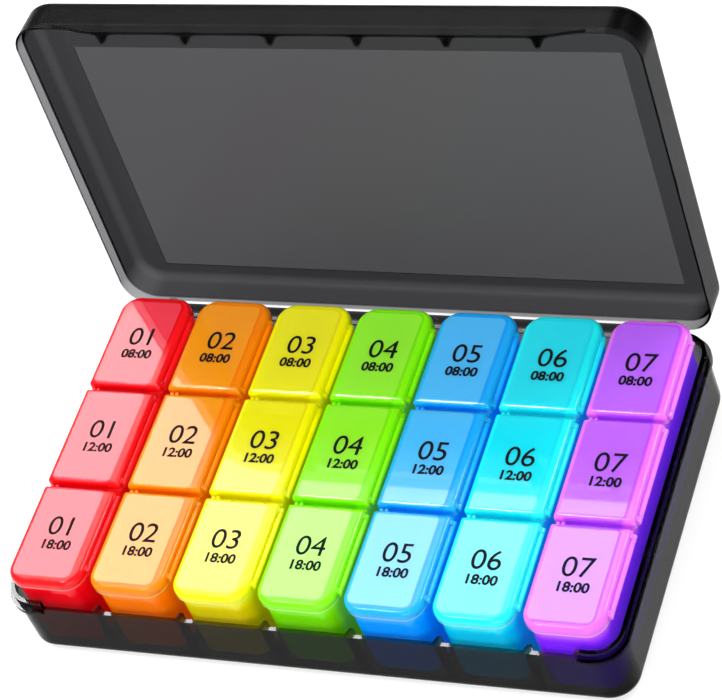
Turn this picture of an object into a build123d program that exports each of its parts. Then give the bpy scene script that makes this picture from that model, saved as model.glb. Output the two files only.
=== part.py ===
from build123d import *
import os

# Weekly pill box: a smoked case with a folding lid, holding seven day boxes with three flip lids each.
# Millimetres, +Z up, +Y towards the case hinge, origin at the middle of the underside of the tray.

# Layout of the day boxes
day_count = 7
time_names = ["evening", "noon", "morning"]
column_gap = 2.6
compartment_pitch = 37.2
column_shift = -0.3

# Flip lids
lid_width = 24.4
lid_valley = 1.8
lid_height = 3.3
lid_top = 1.2
lid_skirt = 1.1
lid_edge_radius = 1.6
lid_corner_radius = 6.0
lid_square_radius = 0.8
lid_deck_gap = 0.3
lid_rim_gap = 0.2

# Hinge of the flip lids
barrel_radius = 0.8
barrel_axis_drop = 2.1
barrel_axis_reach = 0.4
barrel_end_gap = 0.25
barrel_web_height = 2.6
ear_radius = 0.85
ear_thickness = 1.5
ear_setback = 1.4
ear_corner_setback = 0.4
ear_arm = 1.5
ear_rise = 1.3
stub_radius = 0.45
stub_length = 2.0
stub_clearance = 0.05
relief_margin = 0.1

# Day boxes
box_height = 26.5
box_wall = 1.2
box_floor = 1.4
box_bottom_radius = 2.0
rim_wall = 0.8
rim_corner_radius = 7.5
rim_square_radius = 3.0
scoop_radius = 2.0
valley_rib_width = 0.8
valley_rib_length = 1.0
valley_rib_height = 1.8
valley_rib_insets = [1.6, 3.2]

# Case tray
tray_floor = 2.0
tray_wall = 1.2
tray_height = 21.3
tray_corner_radius = 8.6
tray_bottom_radius = 3.5
tray_side_gap = 2.4
tray_end_gap = 1.8
lip_height = 2.8
flange_width = 1.2
flange_thickness = 1.6
recess_end_margin = 12.55
rib_width = 3.0
rib_tip_width = 1.2
rib_depth = 2.0
rib_shift = 1.8

# Case lid
case_lid_wall = 1.6
case_lid_top = 1.8
case_lid_headroom = 0.9
case_lid_edge_radius = 3.5
case_lid_inner_radius = 2.2
rabbet_gap = 0.2
rabbet_wall = 0.7
rabbet_top_gap = 0.7
rim_seat_gap = 0.3
window_side_margin = 11.15
window_end_margin = 12.4
window_depth = 0.4
window_shift = 5.1
apron_drop = 2.3
apron_band = 1.4
apron_thickness = 1.2
apron_end_margin = 28.05
apron_curve_length = 14.0
apron_gap = 0.3
apron_edge_radius = 0.35
fin_width = 3.0
fin_tip_width = 1.2
fin_depth = 4.8
fin_height = 6.5
fin_gap = 0.5

# Case hinge
case_open_angle = 94.2
hinge_reach = 1.9
hinge_rise = 0.8
case_barrel_radius = 1.5
case_barrel_end_margin = 15.05
case_barrel_clearance = 0.3
case_ear_thickness = 2.4
case_ear_gap = 0.4
case_ear_margin = 0.7
case_ear_arm = 1.7
case_heel = 1.7
case_heel_reach = 1.9
case_pin_radius = 0.75
case_pin_clearance = 0.05
case_pin_depth = 5.5

# Heights worked out from the sizes above
box_base = tray_floor
deck = box_base + box_height
lid_bottom = deck + lid_deck_gap
lid_crown = lid_bottom + lid_height
lid_ceiling = lid_crown - lid_top
rim_top = lid_ceiling - lid_rim_gap
barrel_z = lid_crown - barrel_axis_drop
lip_top = tray_height + lip_height
case_rim = tray_height + rim_seat_gap
case_ceiling = lid_crown + case_lid_headroom
case_crown = case_ceiling + case_lid_top
hinge_z = tray_height + hinge_rise

# Plan sizes worked out from the sizes above
column_pitch = lid_width + column_gap
lid_length = compartment_pitch - lid_valley
rim_inset = lid_skirt + lid_rim_gap
compartment_inset = rim_inset + rim_wall
box_inset = compartment_inset - box_wall
box_width = lid_width - 2 * box_inset
box_length = len(time_names) * compartment_pitch - lid_valley - 2 * box_inset
box_corner_radius = lid_corner_radius - box_inset
partition = lid_valley + 2 * compartment_inset
barrel_x = lid_width / 2 + barrel_axis_reach
tray_inner_width = (day_count - 1) * column_pitch + box_width + 2 * (tray_side_gap - column_shift / 2)
tray_inner_length = box_length + 2 * tray_end_gap
tray_width = tray_inner_width + 2 * tray_wall
tray_length = tray_inner_length + 2 * tray_wall
recess_half_length = tray_width / 2 - recess_end_margin
flange_width_overall = tray_width + 2 * flange_width
flange_length_overall = tray_length + 2 * flange_width
case_lid_reach = rabbet_gap + rabbet_wall
case_lid_width = tray_width + 2 * case_lid_reach
case_lid_length = tray_length + 2 * case_lid_reach
case_lid_corner_radius = tray_corner_radius + case_lid_reach
window_length = case_lid_width - 2 * window_side_margin
window_width = case_lid_length - 2 * window_end_margin
apron_half_length = tray_width / 2 - apron_end_margin
hinge_y = tray_length / 2 + hinge_reach
case_hinge_axis = Axis((0, hinge_y, hinge_z), (-1, 0, 0))
case_barrel_half_length = tray_width / 2 - case_barrel_end_margin
case_ear_start = case_barrel_half_length + case_ear_gap
case_ear_end = case_ear_start + case_ear_thickness
rear_gap_half_length = case_ear_end + case_ear_margin
column_places = [(day - (day_count - 1) / 2) * column_pitch for day in range(day_count)]
boundary_places = [x + column_pitch / 2 for x in column_places[:-1]]


def section_plane(y):
    """Plane across the day boxes: its x is X and its y is Z, and it extrudes towards -Y."""
    return Plane(origin=(0, y, 0), x_dir=(1, 0, 0), z_dir=(0, -1, 0))


def compartment_outline(plane, inset, front_radius, rear_radius):
    """Outline of one lid drawn in by inset, with its own corner radii at the front and at the rear."""
    with BuildSketch(plane) as outline:
        Rectangle(lid_width - 2 * inset, lid_length - 2 * inset)
        fillet(outline.vertices().group_by(Axis.Y)[0], front_radius)
        fillet(outline.vertices().group_by(Axis.Y)[-1], rear_radius)
    return outline.sketch


def end_values(row, round_value, square_value):
    """Front and rear values of a lid: only the outer ends of the first and last lids are rounded."""
    front = round_value if row == 0 else square_value
    rear = round_value if row == len(time_names) - 1 else square_value
    return front, rear


def ear_faces(row):
    """Y of the outer faces of the two ears of a lid, from the middle of the lid."""
    front, rear = end_values(row, lid_corner_radius + ear_corner_setback, ear_setback)
    return front - lid_length / 2, lid_length / 2 - rear


def row_place(row):
    """Y of the middle of a compartment, from the front one to the rear one."""
    return (row - (len(time_names) - 1) / 2) * compartment_pitch


# Day box: one moulding with three compartments, a rim round each and a hinge barrel beside each
with BuildPart() as day_box:
    with BuildSketch(Plane.XY.offset(box_base)):
        RectangleRounded(box_width, box_length, box_corner_radius)
    extrude(amount=box_height)
    fillet(day_box.faces().sort_by(Axis.Z)[0].edges(), box_bottom_radius)
    for row in range(len(time_names)):
        rim_radii = end_values(row, rim_corner_radius, rim_square_radius)
        rim_plane = Plane((0, row_place(row), deck))
        extrude(compartment_outline(rim_plane, rim_inset, *rim_radii), amount=rim_top - deck)
    for row in range(len(time_names)):
        well_radii = [radius - rim_wall for radius in end_values(row, rim_corner_radius, rim_square_radius)]
        well_plane = Plane((0, row_place(row), box_base + box_floor))
        well_depth = rim_top - box_base - box_floor
        extrude(compartment_outline(well_plane, compartment_inset, *well_radii),
                amount=well_depth, mode=Mode.SUBTRACT)
    well_floors = day_box.faces().filter_by(Plane.XY).group_by(Axis.Z)[1]
    fillet(well_floors.edges(), scoop_radius)
    # The double walls between the compartments are hollow from below, with two small ribs on top
    for row in range(len(time_names) - 1):
        core_plane = Plane((0, row_place(row) + compartment_pitch / 2, box_base))
        with BuildSketch(core_plane):
            Rectangle(box_width - 2 * box_wall, partition - 2 * box_wall)
        extrude(amount=box_height - box_wall, mode=Mode.SUBTRACT)
        with BuildSketch(core_plane.offset(box_height)):
            with Locations(*[(inset - lid_width / 2, 0) for inset in valley_rib_insets]):
                Rectangle(valley_rib_width, valley_rib_length)
        extrude(amount=valley_rib_height)
    for row in range(len(time_names)):
        front_face, rear_face = ear_faces(row)
        barrel_front = row_place(row) + front_face + ear_thickness + barrel_end_gap
        barrel_rear = row_place(row) + rear_face - ear_thickness - barrel_end_gap
        wall_face = box_width / 2
        rim_face = lid_width / 2 - rim_inset
        with BuildSketch(section_plane(barrel_rear)):
            with Locations((barrel_x, barrel_z)):
                Circle(barrel_radius)
            Polygon((rim_face - rim_wall / 2, deck), (wall_face, deck), (barrel_x, barrel_z), align=None)
            make_hull()
            Polygon((wall_face - box_wall / 2, deck), (wall_face - box_wall / 2, deck - barrel_web_height),
                    (wall_face, deck - barrel_web_height), (barrel_x, barrel_z), align=None)
        extrude(amount=barrel_rear - barrel_front)
        stub_hole_depth = stub_length + stub_clearance - barrel_end_gap
        for mouth, depth in ((barrel_rear, stub_hole_depth), (barrel_front, -stub_hole_depth)):
            with BuildSketch(section_plane(mouth)):
                with Locations((barrel_x, barrel_z)):
                    Circle(stub_radius + stub_clearance)
            extrude(amount=depth, mode=Mode.SUBTRACT)


def flip_lid(row):
    """Flip lid of one row: a cap with a skirt, open along the barrel, with two ears and their stub pins."""
    front_face, rear_face = ear_faces(row)
    radii = end_values(row, lid_corner_radius, lid_square_radius)
    pocket_radii = [max(radius - lid_skirt, rim_square_radius - rim_wall) for radius in radii]
    rim_side = lid_width / 2 - rim_inset
    with BuildPart() as cap:
        extrude(compartment_outline(Plane.XY.offset(lid_bottom), 0, *radii), amount=lid_height)
        fillet(cap.faces().sort_by(Axis.Z)[-1].edges(), lid_edge_radius)
        pocket_depth = lid_ceiling - lid_bottom
        extrude(compartment_outline(Plane.XY.offset(lid_bottom), lid_skirt, *pocket_radii),
                amount=pocket_depth, mode=Mode.SUBTRACT)
        with BuildSketch(Plane.XY.offset(lid_bottom)):
            with Locations((rim_side - relief_margin, front_face)):
                Rectangle(column_pitch / 2, rear_face - front_face, align=Align.MIN)
        extrude(amount=pocket_depth, mode=Mode.SUBTRACT)
        for outer_face, inward in ((rear_face, 1), (front_face, -1)):
            with BuildSketch(section_plane(outer_face)):
                with Locations((barrel_x, barrel_z)):
                    Circle(ear_radius)
                arm_end = lid_width / 2 - ear_arm
                Polygon((barrel_x - ear_radius, barrel_z), (barrel_x + ear_radius, barrel_z),
                        (lid_width / 2, barrel_z + ear_rise), (arm_end, barrel_z + ear_rise),
                        (arm_end, lid_ceiling), (barrel_x - ear_radius, lid_ceiling), align=None)
            extrude(amount=inward * ear_thickness)
            with BuildSketch(section_plane(outer_face - inward * ear_thickness)):
                with Locations((barrel_x, barrel_z)):
                    Circle(stub_radius)
            extrude(amount=inward * stub_length)
    return cap.part


# Case tray: shell with a flange and an upstanding lip, both left out along the front recess and the hinge
with BuildPart() as case_tray:
    with BuildSketch():
        RectangleRounded(tray_width, tray_length, tray_corner_radius)
    extrude(amount=lip_top)
    fillet(case_tray.faces().sort_by(Axis.Z)[0].edges(), tray_bottom_radius)
    with BuildSketch(Plane.XY.offset(tray_height - flange_thickness)):
        RectangleRounded(flange_width_overall, flange_length_overall, tray_corner_radius + flange_width)
    extrude(amount=flange_thickness)
    with BuildSketch(Plane.XY.offset(tray_floor)):
        RectangleRounded(tray_inner_width, tray_inner_length, tray_corner_radius - tray_wall)
    extrude(amount=lip_top - tray_floor, mode=Mode.SUBTRACT)
    tray_floor_face = case_tray.faces().filter_by(Plane.XY).group_by(Axis.Z)[1]
    fillet(tray_floor_face.edges(), tray_bottom_radius - tray_wall)
    for side, half_length in ((-1, recess_half_length), (1, rear_gap_half_length)):
        # The flange stops short of the gap, and the wall there ends level with the flange
        with BuildSketch(Plane((0, side * tray_length / 2, tray_height - flange_thickness))):
            with Locations((0, side * flange_width)):
                Rectangle(2 * half_length, 2 * flange_width)
        extrude(amount=flange_thickness + lip_height, mode=Mode.SUBTRACT)
        with BuildSketch(Plane((0, side * (tray_length - tray_wall) / 2, tray_height))):
            Rectangle(2 * half_length, 2 * tray_wall)
        extrude(amount=lip_height, mode=Mode.SUBTRACT)
        # Wedge ribs between the day boxes
        wall_y = side * tray_inner_length / 2
        with BuildSketch(Plane.XY.offset(tray_floor)):
            with Locations(*[(x + column_shift + rib_shift, wall_y) for x in boundary_places]):
                Polygon((-rib_width / 2, side * tray_wall / 2), (rib_width / 2, side * tray_wall / 2),
                        (rib_width / 2, 0), (rib_tip_width / 2, -side * rib_depth),
                        (-rib_tip_width / 2, -side * rib_depth), (-rib_width / 2, 0), align=None)
        extrude(amount=tray_height - tray_floor)
    with BuildSketch(Plane.YZ.offset(-case_barrel_half_length)):
        with Locations((hinge_y, hinge_z)):
            Circle(case_barrel_radius)
        wall_middle = (tray_length - tray_wall) / 2
        Polygon((wall_middle, tray_height), (wall_middle, hinge_z - hinge_reach),
                (tray_length / 2, hinge_z - hinge_reach), (hinge_y, hinge_z - case_barrel_radius),
                (hinge_y, hinge_z), (tray_length / 2, tray_height), align=None)
    extrude(amount=2 * case_barrel_half_length)
    for side in (-1, 1):
        with BuildSketch(Plane.YZ.offset(side * case_barrel_half_length)):
            with Locations((hinge_y, hinge_z)):
                Circle(case_pin_radius + case_pin_clearance)
        extrude(amount=-side * (case_pin_depth + case_pin_clearance), mode=Mode.SUBTRACT)

# Case lid, drawn closed: shell with a rabbet for the tray's lip, a window panel, an apron and six fins
with BuildPart() as case_lid:
    with BuildSketch(Plane.XY.offset(case_rim)):
        RectangleRounded(case_lid_width, case_lid_length, case_lid_corner_radius)
    extrude(amount=case_crown - case_rim)
    fillet(case_lid.faces().sort_by(Axis.Z)[-1].edges(), case_lid_edge_radius)
    with BuildSketch(Plane.XY.offset(case_rim)):
        RectangleRounded(case_lid_width - 2 * case_lid_wall, case_lid_length - 2 * case_lid_wall,
                         case_lid_corner_radius - case_lid_wall)
    extrude(amount=case_ceiling - case_rim, mode=Mode.SUBTRACT)
    fillet(case_lid.faces().filter_by(Plane.XY).group_by(Axis.Z)[-2].edges(), case_lid_inner_radius)
    with BuildSketch(Plane.XY.offset(case_rim)):
        RectangleRounded(tray_width + 2 * rabbet_gap, tray_length + 2 * rabbet_gap,
                         tray_corner_radius + rabbet_gap)
    extrude(amount=lip_top + rabbet_top_gap - case_rim, mode=Mode.SUBTRACT)
    with BuildSketch(Plane.XY.offset(case_ceiling)):
        with Locations((0, window_shift)):
            Rectangle(window_length, window_width)
    extrude(amount=window_depth, mode=Mode.SUBTRACT)
    # Apron of the front wall, which hangs over the recess of the tray and is pulled to open the lid
    with BuildSketch(section_plane(-tray_length / 2 - apron_gap)):
        with BuildLine():
            apron_end = apron_half_length + apron_curve_length
            low = case_rim - apron_drop
            Line((-apron_half_length, low), (apron_half_length, low))
            Spline((apron_half_length, low), (apron_end, case_rim), tangents=((1, 0), (1, 0)))
            Polyline((apron_end, case_rim), (apron_end, case_rim + apron_band),
                     (-apron_end, case_rim + apron_band), (-apron_end, case_rim))
            Spline((-apron_end, case_rim), (-apron_half_length, low), tangents=((1, 0), (1, 0)))
        make_face()
    extrude(amount=apron_thickness)
    fillet(case_lid.faces().sort_by(Axis.Y)[0].edges(), apron_edge_radius)
    # Fins behind the apron, which stand between the day boxes when the lid is closed
    fin_y = -(case_lid_length / 2 - case_lid_wall)
    with BuildSketch(Plane.XY.offset(tray_height + fin_gap)):
        with Locations(*[(x + column_shift, fin_y) for x in boundary_places]):
            Polygon((-fin_width / 2, -rabbet_wall), (fin_width / 2, -rabbet_wall),
                    (fin_width / 2, 0), (fin_tip_width / 2, fin_depth),
                    (-fin_tip_width / 2, fin_depth), (-fin_width / 2, 0), align=None)
    extrude(amount=fin_height)
    # The rear wall stops above the barrel, and two ears come down to the hinge axis
    with BuildSketch(Plane((0, case_lid_length / 2, case_rim))):
        Rectangle(2 * rear_gap_half_length, 4 * case_lid_wall)
    extrude(amount=hinge_z + case_barrel_radius + case_barrel_clearance - case_rim, mode=Mode.SUBTRACT)
    for side in (-1, 1):
        with BuildSketch(Plane.YZ.offset(side * case_ear_start)):
            with Locations((hinge_y, hinge_z)):
                Circle(case_barrel_radius)
                Polygon((-case_barrel_radius, 0), (0, -case_heel), (case_heel_reach, -case_heel),
                        (case_heel_reach, 0), (-case_lid_wall / 2, case_barrel_radius + case_ear_arm),
                        (-case_barrel_radius, case_barrel_radius + case_ear_arm), align=None)
            with Locations((hinge_y, hinge_z)):
                Circle(case_pin_radius + case_pin_clearance, mode=Mode.SUBTRACT)
        extrude(amount=side * case_ear_thickness)

# Steel pin from the outer face of an ear into the end of the barrel
with BuildPart() as case_hinge_pin:
    with BuildSketch(Plane.YZ.offset(case_barrel_half_length - case_pin_depth)):
        with Locations((hinge_y, hinge_z)):
            Circle(case_pin_radius)
    extrude(amount=case_ear_end - case_barrel_half_length + case_pin_depth)


def write_node(solid, name):
    """Label a finished piece and write its STEP file."""
    solid.label = name
    export_step(solid, f"parts/{name}.step")


os.makedirs("parts", exist_ok=True)
write_node(case_tray.part, "case_tray")
write_node(case_lid.part.rotate(case_hinge_axis, case_open_angle), "case_lid")
write_node(case_hinge_pin.part, "case_hinge_pin_right")
write_node(case_hinge_pin.part.mirror(Plane.YZ), "case_hinge_pin_left")
flip_lids = [flip_lid(row) for row in range(len(time_names))]
for day, column_x in enumerate(column_places, start=1):
    box_x = column_x + column_shift
    write_node(day_box.part.moved(Location((box_x, 0, 0))), f"day_{day}_box")
    for row, time_name in enumerate(time_names):
        lid_location = Location((box_x, row_place(row), 0))
        write_node(flip_lids[row].moved(lid_location), f"day_{day}_{time_name}_lid")
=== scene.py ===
import math

import bpy
from mathutils import Matrix, Vector


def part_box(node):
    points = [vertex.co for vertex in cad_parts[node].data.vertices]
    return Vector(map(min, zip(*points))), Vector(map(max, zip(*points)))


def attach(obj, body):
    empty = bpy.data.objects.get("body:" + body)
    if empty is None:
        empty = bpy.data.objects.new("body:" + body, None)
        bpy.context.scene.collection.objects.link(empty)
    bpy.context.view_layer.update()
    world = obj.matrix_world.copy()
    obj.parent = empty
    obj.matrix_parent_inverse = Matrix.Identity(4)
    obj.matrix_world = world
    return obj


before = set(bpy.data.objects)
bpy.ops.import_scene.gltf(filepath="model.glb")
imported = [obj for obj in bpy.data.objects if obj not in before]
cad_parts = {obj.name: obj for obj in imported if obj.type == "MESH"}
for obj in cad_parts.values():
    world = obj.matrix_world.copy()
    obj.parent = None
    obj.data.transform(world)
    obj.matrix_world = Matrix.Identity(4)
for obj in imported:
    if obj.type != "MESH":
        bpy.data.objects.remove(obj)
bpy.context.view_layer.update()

# Case tray: the shell that the day boxes stand in, injection moulded in one piece from smoked polystyrene.
# The plastic is clear with a black dye, so its thin walls pass more light than its floor and corners.
# The tops of its front rim, left lip and ribs, where the mould parts, mirror more of the light.


def new_group(name, inputs, outputs):
    """An empty shader node group with plain value sockets."""
    group = bpy.data.node_groups.new(name, "ShaderNodeTree")
    for direction, socket_names in (("INPUT", inputs), ("OUTPUT", outputs)):
        for socket_name in socket_names:
            group.interface.new_socket(socket_name, in_out=direction, socket_type="NodeSocketFloat")
    return group


def place_on(tree):
    """Place on a piece, in the frame of the CAD."""
    return tree.nodes.new("ShaderNodeTexCoord").outputs["Object"]


# The moulded skin is on all the plastics: the waves and pores of the mould, and a little haze from handling.
moulded_skin = new_group("moulded skin", ("Wave Scale", "Polished", "Hazed"), ("Roughness", "Height"))
skin_in = moulded_skin.nodes.new("NodeGroupInput").outputs
skin_out = moulded_skin.nodes.new("NodeGroupOutput").inputs
skin_place = place_on(moulded_skin)


def feed(tree, socket, value):
    """Set a node's input to a plain value, or link another node's output to it."""
    if isinstance(value, bpy.types.NodeSocket):
        tree.links.new(value, socket)
    else:
        socket.default_value = value


def noise_node(tree, place, scale, detail=2.0, roughness=0.5):
    """Value of a noise texture at place."""
    node = tree.nodes.new("ShaderNodeTexNoise")
    for socket_name, value in (("Vector", place), ("Scale", scale),
                               ("Detail", detail), ("Roughness", roughness)):
        feed(tree, node.inputs[socket_name], value)
    return node.outputs["Fac"]


waves = noise_node(moulded_skin, skin_place, skin_in["Wave Scale"])
handling = noise_node(moulded_skin, skin_place, scale=34.0, detail=5.0, roughness=0.62)
pores = noise_node(moulded_skin, skin_place, scale=2600.0)


def range_node(tree, value, low=0.0, high=1.0, start=0.0, end=1.0, interpolation="LINEAR"):
    """Result that runs from start to end while value runs from low to high."""
    node = tree.nodes.new("ShaderNodeMapRange")
    node.interpolation_type = interpolation
    for socket_name, amount in (("Value", value), ("From Min", low), ("From Max", high),
                                ("To Min", start), ("To Max", end)):
        feed(tree, node.inputs[socket_name], amount)
    return node.outputs["Result"]


haze = range_node(moulded_skin, handling, low=0.42, high=0.78,
                  start=skin_in["Polished"], end=skin_in["Hazed"])
moulded_skin.links.new(haze, skin_out["Roughness"])


def math_node(tree, operation, *values):
    """Result of a math node that is fed by other nodes or by plain numbers."""
    node = tree.nodes.new("ShaderNodeMath")
    node.operation = operation
    for place, value in enumerate(values):
        feed(tree, node.inputs[place], value)
    return node.outputs["Value"]


pore_share = 0.06
skin_height = math_node(moulded_skin, "MULTIPLY_ADD", pores, pore_share, waves)
moulded_skin.links.new(skin_height, skin_out["Height"])


def new_plastic(name, wave_scale, polished, hazed, bump_strength):
    """A material with a Principled surface whose roughness and bump come from the moulded skin."""
    plastic = bpy.data.materials.new(name)
    plastic.use_nodes = True
    nodes, links = plastic.node_tree.nodes, plastic.node_tree.links
    surface = nodes["Principled BSDF"]
    skin = nodes.new("ShaderNodeGroup")
    skin.node_tree = moulded_skin
    skin.inputs["Wave Scale"].default_value = wave_scale
    skin.inputs["Polished"].default_value = polished
    skin.inputs["Hazed"].default_value = hazed
    bump = nodes.new("ShaderNodeBump")
    bump.inputs["Strength"].default_value = bump_strength
    bump.inputs["Distance"].default_value = 0.0002
    links.new(skin.outputs["Roughness"], surface.inputs["Roughness"])
    links.new(skin.outputs["Height"], bump.inputs["Height"])
    links.new(bump.outputs["Normal"], surface.inputs["Normal"])
    return plastic, surface


def smoked_plastic(name, polished, hazed, refraction, density):
    """Clear plastic dyed black in the mass, so that it darkens with its thickness."""
    plastic, surface = new_plastic(name, wave_scale=60.0, polished=polished, hazed=hazed,
                                   bump_strength=0.06)
    surface.inputs["Base Color"].default_value = (0.92, 0.92, 0.94, 1.0)
    surface.inputs["Transmission Weight"].default_value = 1.0
    surface.inputs["IOR"].default_value = refraction
    surface.inputs["Specular Tint"].default_value = (0.3, 0.3, 0.3, 1.0)
    black_dye = plastic.node_tree.nodes.new("ShaderNodeVolumeAbsorption")
    black_dye.inputs["Color"].default_value = (0.02, 0.02, 0.03, 1.0)
    black_dye.inputs["Density"].default_value = density
    plastic.node_tree.links.new(black_dye.outputs["Volume"],
                                plastic.node_tree.nodes["Material Output"].inputs["Volume"])
    return plastic, surface


tray_plastic, tray_surface = smoked_plastic("smoked tray plastic", polished=0.03, hazed=0.08,
                                            refraction=1.15, density=1280.0)
tray_tree = tray_plastic.node_tree


def split_vector(tree, vector):
    """X, Y and Z of a vector output."""
    node = tree.nodes.new("ShaderNodeSeparateXYZ")
    tree.links.new(vector, node.inputs["Vector"])
    return node.outputs


rim_low, rim_high, level_face, hinge_front, right_wall = 0.0211, 0.02125, 0.9, 0.054, 0.085
tray_place = split_vector(tray_tree, place_on(tray_tree))
tray_normal = split_vector(tray_tree, tray_tree.nodes.new("ShaderNodeNewGeometry").outputs["True Normal"])
rim_height = range_node(tray_tree, tray_place["Z"], rim_low, rim_high)
facing_up = math_node(tray_tree, "GREATER_THAN", tray_normal["Z"], level_face)
rim_top = math_node(tray_tree, "MULTIPLY", rim_height, facing_up)
before_hinge = math_node(tray_tree, "LESS_THAN", tray_place["Y"], hinge_front)
before_wall = math_node(tray_tree, "LESS_THAN", tray_place["X"], right_wall)
rim_place = math_node(tray_tree, "MULTIPLY", before_hinge, before_wall)
rim_polish = math_node(tray_tree, "MULTIPLY", rim_top, rim_place)
tray_tree.links.new(rim_polish, tray_surface.inputs["Coat Weight"])
tray_surface.inputs["Coat IOR"].default_value = 2.0
tray_surface.inputs["Coat Roughness"].default_value = 0.08


def finish_node(node_name, material):
    """Give a CAD piece its finish in all of its material slots."""
    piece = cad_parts[node_name]
    for index in range(len(piece.material_slots)):
        piece.material_slots[index].material = material


finish_node("case_tray", tray_plastic)

# Case lid: the smoked shell that folds over the day boxes, moulded from the same plastic as the tray.
# Its flat window panel is thinner than the border, so more of the light behind it comes through.
case_lid_plastic = smoked_plastic("smoked lid plastic", polished=0.24, hazed=0.27,
                                  refraction=1.12, density=1410.0)[0]
finish_node("case_lid", case_lid_plastic)

# Case hinge pins: two short lengths of drawn steel wire, pushed through the ears of the lid.
# The drawing die leaves fine lines along the wire.
drawn_steel = bpy.data.materials.new("drawn steel")
drawn_steel.use_nodes = True
steel_tree = drawn_steel.node_tree
steel_surface = steel_tree.nodes["Principled BSDF"]
steel_surface.inputs["Metallic"].default_value = 1.0
steel_stretch = steel_tree.nodes.new("ShaderNodeMapping")
steel_stretch.inputs["Scale"].default_value = (60.0, 2600.0, 2600.0)
steel_tree.links.new(place_on(steel_tree), steel_stretch.inputs["Vector"])
die_lines = noise_node(steel_tree, steel_stretch.outputs["Vector"], scale=1.0)


def ramp_node(tree, value, first_colour, last_colour):
    """Colour that runs from first_colour to last_colour while value runs from 0 to 1."""
    node = tree.nodes.new("ShaderNodeValToRGB")
    node.color_ramp.elements[0].color = first_colour
    node.color_ramp.elements[1].color = last_colour
    tree.links.new(value, node.inputs["Fac"])
    return node.outputs["Color"]


steel_tone = ramp_node(steel_tree, die_lines, (0.42, 0.42, 0.44, 1.0), (0.74, 0.74, 0.75, 1.0))
steel_polish = range_node(steel_tree, die_lines, start=0.22, end=0.42)
steel_tree.links.new(steel_tone, steel_surface.inputs["Base Color"])
steel_tree.links.new(steel_polish, steel_surface.inputs["Roughness"])
finish_node("case_hinge_pin_left", drawn_steel)
finish_node("case_hinge_pin_right", drawn_steel)

# Day boxes: seven long boxes of translucent polypropylene, a dyed colour for each day, moulded in one piece
# with the compartments' rims and the hinge barrels. Each box's colour is painted deeper low down, a painted
# shade where the case and the next boxes shade it, and brighter towards the rims and barrels, a painted
# glow.
day_names = [f"day_{number}" for number in range(1, 8)]


def linear(code):
    """Scene colour of an sRGB hex code."""
    parts = [int(code[place:place + 2], 16) / 255 for place in (0, 2, 4)]
    return tuple(part / 12.92 if part <= 0.04045 else ((part + 0.055) / 1.055) ** 2.4
                 for part in parts) + (1.0,)


# Deep colours are painted shade, low on the boxes and in the lid creases; glow colours are painted glow,
# high on the boxes and on the lid borders.
painted_shade_dye = [linear(code) for code in ("d80012", "e87000", "c8b800", "6cc800", "0090fc", "00b4dc", "7c20ff")]
painted_glow_dye = [linear(code) for code in ("ff1018", "ff8400", "fff800", "80ff04", "18a8ff", "18f4ff", "ec70ff")]

# Height ramp for the painted shade, glow and highlight bands.
shade_glow_zone = new_group("shade glow zone", ("Low", "High"), ("Height Mask",))
zone_in = shade_glow_zone.nodes.new("NodeGroupInput").outputs
zone_out = shade_glow_zone.nodes.new("NodeGroupOutput").inputs
zone_place = split_vector(shade_glow_zone, place_on(shade_glow_zone))
height_mask = range_node(shade_glow_zone, zone_place["Z"], zone_in["Low"], zone_in["High"],
                         interpolation="SMOOTHSTEP")
shade_glow_zone.links.new(height_mask, zone_out["Height Mask"])


def mix_node(tree, share, first_colour, last_colour):
    """Colour that runs from first_colour to last_colour while share runs from 0 to 1."""
    node = tree.nodes.new("ShaderNodeMix")
    node.data_type = "RGBA"
    share_socket, first_socket, last_socket, result_socket = 0, 6, 7, 2
    feed(tree, node.inputs[share_socket], share)
    feed(tree, node.inputs[first_socket], first_colour)
    feed(tree, node.inputs[last_socket], last_colour)
    return node.outputs[result_socket]


def dyed_plastic(name, low_colour, high_colour, low, high):
    """Translucent dyed plastic whose colour runs from low_colour to high_colour with height, as painted
    shade, glow or highlight.
    """
    plastic, surface = new_plastic(name, wave_scale=90.0, polished=0.10, hazed=0.22, bump_strength=0.15)
    zone = plastic.node_tree.nodes.new("ShaderNodeGroup")
    zone.node_tree = shade_glow_zone
    zone.inputs["Low"].default_value = low
    zone.inputs["High"].default_value = high
    tone = mix_node(plastic.node_tree, zone.outputs["Height Mask"], low_colour, high_colour)
    plastic.node_tree.links.new(tone, surface.inputs["Base Color"])
    surface.inputs["Transmission Weight"].default_value = 0.15
    surface.inputs["IOR"].default_value = 1.49
    surface.inputs["Specular IOR Level"].default_value = 0.15
    surface.inputs["Subsurface Weight"].default_value = 0.9
    surface.inputs["Subsurface Radius"].default_value = (1.0, 1.0, 1.0)
    surface.inputs["Subsurface Scale"].default_value = 0.004
    return plastic, surface, tone


for index, day in enumerate(day_names):
    box_plastic, box_surface, box_tone = dyed_plastic(
        f"{day} box plastic", painted_shade_dye[index], painted_glow_dye[index], low=0.0235, high=0.0306)
    # Painted glow: each box also gives off a little light in its own colour, for the light that its walls
    # would pass on from the compartments.
    box_plastic.node_tree.links.new(box_tone, box_surface.inputs["Emission Color"])
    box_surface.inputs["Emission Strength"].default_value = 0.14
    finish_node(f"{day}_box", box_plastic)

# Flip lids: three on each day box, moulded caps of the same dyed polypropylene with a flat polished top.
# The plastic is thin over the compartment and thick along the skirt; the border round the duller panel is
# painted a brighter colour, a painted glow, and a paler line along the foot of the skirt is a painted
# highlight.
# Each lid snaps over its compartment's rim and turns on two stub pins in the ends of the barrel.
time_names = ["evening", "noon", "morning"]
column_pitch, column_shift, row_pitch = 0.027, -0.0003, 0.0372
panel_dye = [linear(code) for code in
             ("ff3c50", "ff9606", "f0e806", "90f424", "48b8ff", "08dcf8", "b460ff")]
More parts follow.
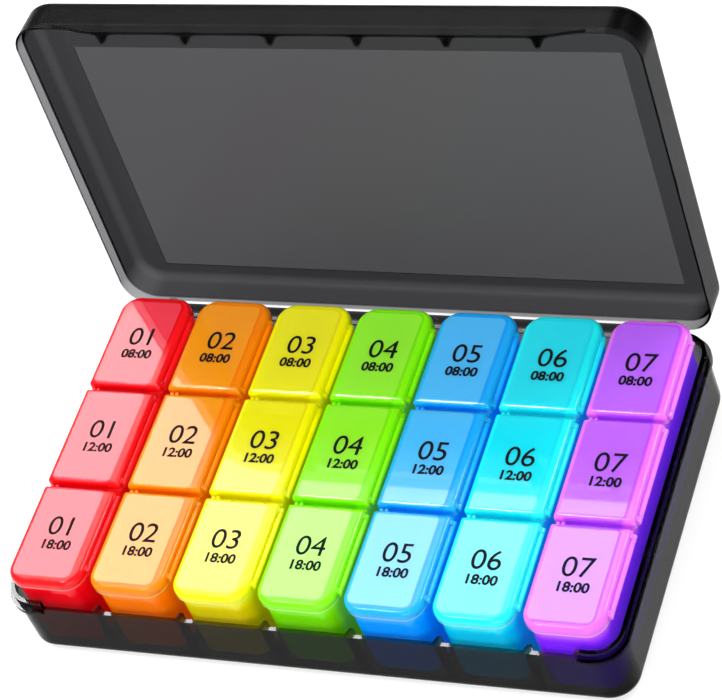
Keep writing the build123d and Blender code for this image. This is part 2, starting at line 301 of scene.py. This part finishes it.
# Pale colours for a painted highlight along the foot of each lid's skirt.
painted_edge_highlight = [linear(code) for code in
            ("ff5a64", "ffb040", "ffff60", "d0ff60", "70d0ff", "80ffff", "ffa4ff")]

lid_panel = new_group("lid panel", (), ("Panel", "Crease Shade", "Polish"))
panel_out = lid_panel.nodes.new("NodeGroupOutput").inputs
lid_place = split_vector(lid_panel, place_on(lid_panel))


def panel_math(operation, *values):
    """Result of a math node of the lid panel group."""
    return math_node(lid_panel, operation, *values)


def panel_step(value, low, high):
    """A smooth step of the lid panel group from 0 at low to 1 at high."""
    return range_node(lid_panel, value, low, high, interpolation="SMOOTHSTEP")


# The panel is a rounded rectangle on each lid: 1.6 mm in from the left side, 3.4 mm from the hinge side,
# and further in at the case's front and rear, where the lids end in a round corner. A line of painted shade,
# in a deeper colour, runs round it, apart from the left side, which faces the light.
panel_half_width, panel_corner, panel_to_left = 0.0097, 0.0022, 0.0009
panel_front, front_setback = -0.0174, 0.0022
panel_rear, rear_setback = 0.0172, 0.0018
panel_blur, crease_rise, crease_width = 0.0003, 0.0001, 0.0012
left_side_low, left_side_high = -0.0098, -0.0082
crown_low, crown_high = 0.0314, 0.0319
border_polish, panel_polish = 0.1, 0.85
column_place = panel_math("WRAP", panel_math("SUBTRACT", lid_place["X"], column_shift),
                          column_pitch / 2, -column_pitch / 2)
row_place = panel_math("WRAP", lid_place["Y"], row_pitch / 2, -row_pitch / 2)
front_row = panel_math("LESS_THAN", lid_place["Y"], -row_pitch / 2)
rear_row = panel_math("GREATER_THAN", lid_place["Y"], row_pitch / 2)
front_bound = panel_math("MULTIPLY_ADD", front_row, front_setback, panel_front)
rear_bound = panel_math("MULTIPLY_ADD", rear_row, -rear_setback, panel_rear)
side_reach = panel_math("SUBTRACT", panel_math("ABSOLUTE", panel_math("ADD", column_place, panel_to_left)),
                        panel_half_width - panel_corner)
end_middle = panel_math("MULTIPLY", panel_math("ADD", front_bound, rear_bound), 0.5)
end_half = panel_math("MULTIPLY", panel_math("SUBTRACT", rear_bound, front_bound), 0.5)
end_reach = panel_math("SUBTRACT", panel_math("ABSOLUTE", panel_math("SUBTRACT", row_place, end_middle)),
                       panel_math("SUBTRACT", end_half, panel_corner))
side_past = panel_math("MAXIMUM", side_reach, 0.0)
end_past = panel_math("MAXIMUM", end_reach, 0.0)
corner_reach = panel_math("SQRT", panel_math("ADD", panel_math("MULTIPLY", side_past, side_past),
                                             panel_math("MULTIPLY", end_past, end_past)))
panel_edge = panel_math("SUBTRACT", corner_reach, panel_corner)
inside_panel = panel_math("SUBTRACT", 1.0, panel_step(panel_edge, -panel_blur, panel_blur))
panel_mask = panel_math("MULTIPLY", inside_panel, panel_step(lid_place["Z"], crown_low, crown_high))
crease_start = panel_step(panel_edge, -panel_blur, crease_rise)
crease_end = panel_math("SUBTRACT", 1.0, panel_step(panel_edge, panel_blur, crease_width))
past_left_side = panel_step(column_place, left_side_low, left_side_high)
crease_shade_mask = panel_math("MULTIPLY", panel_math("MULTIPLY", crease_start, crease_end), past_left_side)
polish_mask = panel_math("MULTIPLY_ADD", panel_mask, panel_polish, border_polish)
lid_panel.links.new(panel_mask, panel_out["Panel"])
lid_panel.links.new(crease_shade_mask, panel_out["Crease Shade"])
lid_panel.links.new(polish_mask, panel_out["Polish"])

# Painted shade: the crease line is mixed towards the deep colour.
crease_shade_strength = 0.6
for index, day in enumerate(day_names):
    lid_plastic, lid_surface, lid_tone = dyed_plastic(
        f"{day} lid plastic", painted_edge_highlight[index], painted_glow_dye[index], low=0.0291, high=0.0295)
    lid_tree = lid_plastic.node_tree
    panel = lid_tree.nodes.new("ShaderNodeGroup")
    panel.node_tree = lid_panel
    panel_tone = mix_node(lid_tree, panel.outputs["Panel"], lid_tone, panel_dye[index])
    crease_shade_share = math_node(lid_tree, "MULTIPLY", panel.outputs["Crease Shade"], crease_shade_strength)
    crease_shade_tone = mix_node(lid_tree, crease_shade_share, panel_tone, painted_shade_dye[index])
    lid_tree.links.new(crease_shade_tone, lid_surface.inputs["Base Color"])
    lid_tree.links.new(panel.outputs["Polish"], lid_surface.inputs["Coat Weight"])
    lid_surface.inputs["Coat Roughness"].default_value = 0.03
    for time_name in time_names:
        finish_node(f"{day}_{time_name}_lid", lid_plastic)

# Printed numbers: pad printed in black on each flip lid's top, the day's number above the hour of the dose.
# The ink film is a few hundredths of a millimetre thick and a little duller than the plastic under it.
lid_top_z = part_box("day_1_noon_lid")[1].z
ink_film = 0.00003
print_hours = {"morning": "08:00", "noon": "12:00", "evening": "18:00"}
day_cap_height, day_weight, day_y = 0.0070, 0.0, 0.0027
hour_cap_height, hour_weight, hour_y = 0.0033, 0.00014, -0.0039
middle_column, middle_row, row_drop = 3, 1, 0.0008
print_ink = bpy.data.materials.new("print ink")
print_ink.use_nodes = True
ink_tree = print_ink.node_tree
ink_surface = ink_tree.nodes["Principled BSDF"]
ink_surface.inputs["Specular IOR Level"].default_value = 0.06
ink_grain = noise_node(ink_tree, place_on(ink_tree), scale=3000.0)
ink_tone = ramp_node(ink_tree, ink_grain, (0.002, 0.002, 0.002, 1.0), (0.008, 0.008, 0.009, 1.0))
ink_dullness = range_node(ink_tree, ink_grain, start=0.45, end=0.65)
ink_tree.links.new(ink_tone, ink_surface.inputs["Base Color"])
ink_tree.links.new(ink_dullness, ink_surface.inputs["Roughness"])


def printed_line(text, cap_height, weight):
    """Flat mesh of one printed line, centred on its own origin and lying in the XY plane."""
    cap_share = 0.72
    curve = bpy.data.curves.new("print line", "FONT")
    curve.body = text
    curve.align_x = "CENTER"
    curve.align_y = "CENTER"
    curve.size = cap_height / cap_share
    curve.offset = weight
    curve.resolution_u = 6
    curve.extrude = ink_film / 2
    line = bpy.data.objects.new("print line", curve)
    bpy.context.scene.collection.objects.link(line)
    bpy.context.view_layer.update()
    mesh = bpy.data.meshes.new_from_object(line.evaluated_get(bpy.context.evaluated_depsgraph_get()))
    bpy.data.objects.remove(line)
    bpy.data.curves.remove(curve)
    return mesh


for index, day in enumerate(day_names):
    column_x = (index - middle_column) * column_pitch + column_shift
    for row, time_name in enumerate(time_names):
        row_y = (row - middle_row) * row_pitch - row_drop * row
        lines = [(f"{index + 1:02d}", day_cap_height, day_weight, day_y),
                 (print_hours[time_name], hour_cap_height, hour_weight, hour_y)]
        verts, faces = [], []
        for text, cap_height, weight, line_y in lines:
            line_mesh = printed_line(text, cap_height, weight)
            first = len(verts)
            place = Vector((column_x, row_y + line_y, lid_top_z + ink_film / 2))
            verts += [vertex.co + place for vertex in line_mesh.vertices]
            faces += [[first + corner for corner in polygon.vertices] for polygon in line_mesh.polygons]
            bpy.data.meshes.remove(line_mesh)
        print_mesh = bpy.data.meshes.new(f"{day}_{time_name}_print")
        print_mesh.from_pydata(verts, [], faces)
        print_mesh.materials.append(print_ink)
        print_piece = bpy.data.objects.new(f"{day}_{time_name}_print", print_mesh)
        bpy.context.scene.collection.objects.link(print_piece)
        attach(print_piece, f"{day}_{time_name}_lid")

# Floor: a wide white sheet under the case, which stays white to the camera and keeps the soft shadow.
# Light Path adds the white only where the floor is seen, directly or in gloss and smoked plastic.
reach, floor_drop, floor_white = 6.0, 0.0002, 0.62
floor_mesh = bpy.data.meshes.new("floor")
floor_mesh.from_pydata([(-reach, -reach, 0), (reach, -reach, 0), (reach, reach, 0), (-reach, reach, 0)],
                       [], [(0, 1, 2, 3)])
floor = bpy.data.objects.new("floor", floor_mesh)
floor.location.z = -floor_drop
bpy.context.scene.collection.objects.link(floor)
floor_paper = bpy.data.materials.new("floor paper")
floor_paper.use_nodes = True
paper_tree = floor_paper.node_tree
paper_surface = paper_tree.nodes["Principled BSDF"]
paper_surface.inputs["Base Color"].default_value = (0.42, 0.42, 0.42, 1.0)
paper_surface.inputs["Roughness"].default_value = 0.9
paper_surface.inputs["Specular IOR Level"].default_value = 0.1
paper_surface.inputs["Emission Color"].default_value = (1.0, 1.0, 1.0, 1.0)
ray = paper_tree.nodes.new("ShaderNodeLightPath").outputs
seen_or_mirrored = math_node(paper_tree, "MAXIMUM", ray["Is Camera Ray"], ray["Is Glossy Ray"])
seen_at_all = math_node(paper_tree, "MAXIMUM", seen_or_mirrored, ray["Is Transmission Ray"])
paper_glow = math_node(paper_tree, "MULTIPLY", seen_at_all, floor_white)
paper_tree.links.new(paper_glow, paper_surface.inputs["Emission Strength"])
floor_mesh.materials.append(floor_paper)

# Studio light: an even grey tent all round, and five soft panels. The flat tops of the front flip lids
# mirror the rear panel, which the open case lid hides from the other flip lids. The top wall of the open
# case lid mirrors the low panel.
tent = bpy.data.worlds.new("tent")
bpy.context.scene.world = tent
tent.use_nodes = True
tent.node_tree.nodes["Background"].inputs["Color"].default_value = (1.0, 1.0, 1.0, 1.0)
tent.node_tree.nodes["Background"].inputs["Strength"].default_value = 0.62


def soft_panel(name, place, aim, width, height, power):
    """A rectangular area light at place, facing aim."""
    lamp = bpy.data.lights.new(name, "AREA")
    lamp.shape = "RECTANGLE"
    lamp.size, lamp.size_y = width, height
    lamp.energy = power
    lamp_piece = bpy.data.objects.new(name, lamp)
    turn = (Vector(aim) - Vector(place)).to_track_quat("-Z", "Y")
    lamp_piece.matrix_world = Matrix.Translation(place) @ turn.to_matrix().to_4x4()
    bpy.context.scene.collection.objects.link(lamp_piece)


case_middle, open_lid_top = (0.0, 0.0, 0.03), (0.0, 0.07, 0.135)
soft_panel("rear panel", (-0.42, 0.53, 0.86), case_middle, width=0.75, height=0.40, power=4.3)
soft_panel("top panel", (-0.45, -0.22, 1.15), case_middle, width=0.5, height=0.3, power=8.5)
soft_panel("front panel", (0.30, -1.00, 0.55), case_middle, width=0.8, height=0.6, power=8.5)
soft_panel("low panel", (-0.46, 0.83, 0.76), open_lid_top, width=0.8, height=0.14, power=2.0)
soft_panel("right panel", (0.58, 0.66, 0.88), case_middle, width=0.4, height=0.3, power=6.0)

# Camera: a long lens that looks down from the front right, from a little under a metre away.
# Its place, lens and tilt to the left are fitted to the photograph's lines.
camera_azimuth, camera_elevation, camera_roll = (math.radians(angle) for angle in (35.395, 46.129, -24.129))
camera_aim, camera_distance = Vector((-0.002152, 0.03037, 0.04172)), 0.93855
back = Vector((math.sin(camera_azimuth) * math.cos(camera_elevation),
               -math.cos(camera_azimuth) * math.cos(camera_elevation), math.sin(camera_elevation)))
right = Vector((math.cos(camera_azimuth), math.sin(camera_azimuth), 0.0))
up = back.cross(right)
tilted_right = math.cos(camera_roll) * right + math.sin(camera_roll) * up
tilted_up = math.cos(camera_roll) * up - math.sin(camera_roll) * right
lens = bpy.data.cameras.new("camera")
lens.lens = 158.25
lens.sensor_width = 36.0
lens.clip_start, lens.clip_end = 0.05, 30.0
camera = bpy.data.objects.new("camera", lens)
camera_turn = Matrix((tilted_right, tilted_up, back)).transposed().to_4x4()
camera.matrix_world = Matrix.Translation(camera_aim + camera_distance * back) @ camera_turn
bpy.context.scene.collection.objects.link(camera)
bpy.context.scene.camera = camera
bpy.context.scene.view_settings.view_transform = "Standard"
